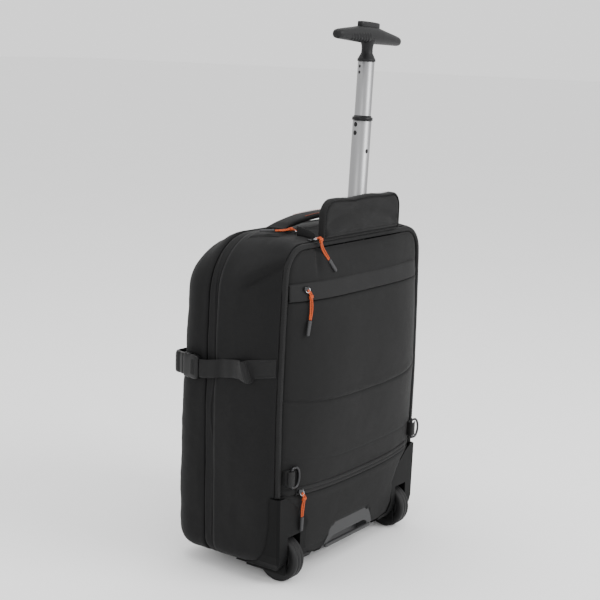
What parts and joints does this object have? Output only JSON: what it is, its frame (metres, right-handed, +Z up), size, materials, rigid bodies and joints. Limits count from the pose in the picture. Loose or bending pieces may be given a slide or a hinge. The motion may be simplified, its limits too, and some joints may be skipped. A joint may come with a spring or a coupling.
{
  "type": "wheeled backpack",
  "caption": "Wheeled cabin backpack: cloth body on rear wheels and front feet, telescopic trolley pole with T grip, side compression straps, top carry handle and corded zip pulls.",
  "frame": {"origin": "middle of the footprint of the bag, feet, wheels and trolley, on the ground they stand on; the zip pulls on cords are left out of it", "axes": "+Z up along the standing bag, +Y towards the front compartment, away from the back panel that carries the trolley, +X towards the side where the right wheel, seen from behind, stands"},
  "size_m": [0.376, 0.2188, 0.7481],
  "materials": {
    "side_cloth": "matt black woven nylon",
    "front_cloth": "matt black woven nylon",
    "panel_cloth": "dark grey woven back panel over foam",
    "welt_cloth": "dark grey zip welt",
    "piping": "dark grey bound seam",
    "zip_tape": "black coil zip",
    "hood_cloth": "dark grey woven cloth",
    "handle_cloth": "padded cloth with orange edge stitching",
    "patch_cloth": "reinforcing cloth",
    "webbing": "ribbed polyester webbing",
    "cord": "orange woven cord",
    "housing_plastic": "textured dark grey moulding",
    "hub_plastic": "dark grey moulding",
    "trim_plastic": "black moulding",
    "grip_plastic": "dark grey moulding with ribs",
    "button_plastic": "black button",
    "buckle": "black acetal",
    "tyre": "dark elastomer tread",
    "foot": "black rubber",
    "pull_rubber": "grey moulded rubber",
    "tube": "satin anodised",
    "axle": "plain steel",
    "slider": "nickel plated",
    "ring": "dark painted steel"
  },
  "bodies": {
    "bag": {"main_gusset": "side_cloth", "zip_flap": "side_cloth", "front_compartment": "front_cloth", "back_panel": "panel_cloth", "upper_zip_welt": "welt_cloth", "lower_zip_welt": "welt_cloth", "back_piping": "piping", "main_zip": "zip_tape", "hood": "hood_cloth", "hood_tab": "hood_cloth", "wheel_housing_left": "housing_plastic", "wheel_housing_right": "housing_plastic", "grab_handle": "housing_plastic", "axle_left": "axle", "axle_right": "axle", "front_foot_left": "foot", "front_foot_right": "foot", "trolley_sleeve": "trim_plastic", "trolley_bezel": "trim_plastic", "compression_strap_left": "webbing", "compression_strap_right": "webbing", "front_tab_left": "webbing", "front_tab_right": "webbing", "buckle_socket_left": "buckle", "buckle_socket_right": "buckle", "buckle_plug_left": "buckle", "buckle_plug_right": "buckle", "carry_handle": "handle_cloth", "handle_patch_left": "patch_cloth", "handle_patch_right": "patch_cloth", "dring_loop_left": "webbing", "dring_loop_right": "webbing", "zip_slider_hood": "slider", "pull_cord_hood_a": "cord", "pull_cord_hood_b": "cord", "pull_end_hood": "pull_rubber", "zip_slider_top": "slider", "pull_cord_top_a": "cord", "pull_cord_top_b": "cord", "pull_end_top": "pull_rubber", "zip_slider_upper": "slider", "pull_cord_upper_a": "cord", "pull_cord_upper_b": "cord", "pull_end_upper": "pull_rubber", "zip_slider_lower": "slider", "pull_cord_lower_a": "cord", "pull_cord_lower_b": "cord", "pull_end_lower": "pull_rubber"},
    "lower_stage": {"lower_tube": "tube", "tube_collar": "trim_plastic"},
    "upper_stage": {"upper_tube": "tube", "grip": "grip_plastic"},
    "button": {"grip_button": "button_plastic"},
    "wheel_left": {"tyre_left": "tyre", "hub_left": "hub_plastic"},
    "wheel_right": {"tyre_right": "tyre", "hub_right": "hub_plastic"},
    "ring_left": {"dring_left": "ring"},
    "ring_right": {"dring_right": "ring"}
  },
  "joints": [
    {"name": "lower_slide", "type": "slide", "parent": "bag", "child": "lower_stage", "axis": [0.0506, 0, 0.9987], "range_m": [-0.143, 0.13]},
    {"name": "upper_slide", "type": "slide", "parent": "lower_stage", "child": "upper_stage", "axis": [0.0506, 0, 0.9987], "range_m": [-0.07, 0.13]},
    {"name": "button_press", "type": "slide", "parent": "upper_stage", "child": "button", "axis": [-0.0506, 0, -0.9987], "range_m": [0, 0.004], "stiffness_N_per_m": 500, "springref_m": -0.001},
    {"name": "wheel_left_spin", "type": "hinge", "parent": "bag", "child": "wheel_left", "pos_m": [-0.137, -0.06597, 0.032], "axis": [1, 0, 0], "continuous": true},
    {"name": "wheel_right_spin", "type": "hinge", "parent": "bag", "child": "wheel_right", "pos_m": [0.137, -0.06597, 0.032], "axis": [1, 0, 0], "continuous": true},
    {"name": "ring_left_swing", "type": "hinge", "parent": "bag", "child": "ring_left", "pos_m": [-0.153, -0.0916, 0.152], "axis": [0, 0, -1], "range_deg": [0, 170]},
    {"name": "ring_right_swing", "type": "hinge", "parent": "bag", "child": "ring_right", "pos_m": [0.153, -0.0916, 0.152], "axis": [0, 0, -1], "range_deg": [-5, 168]}
  ]
}
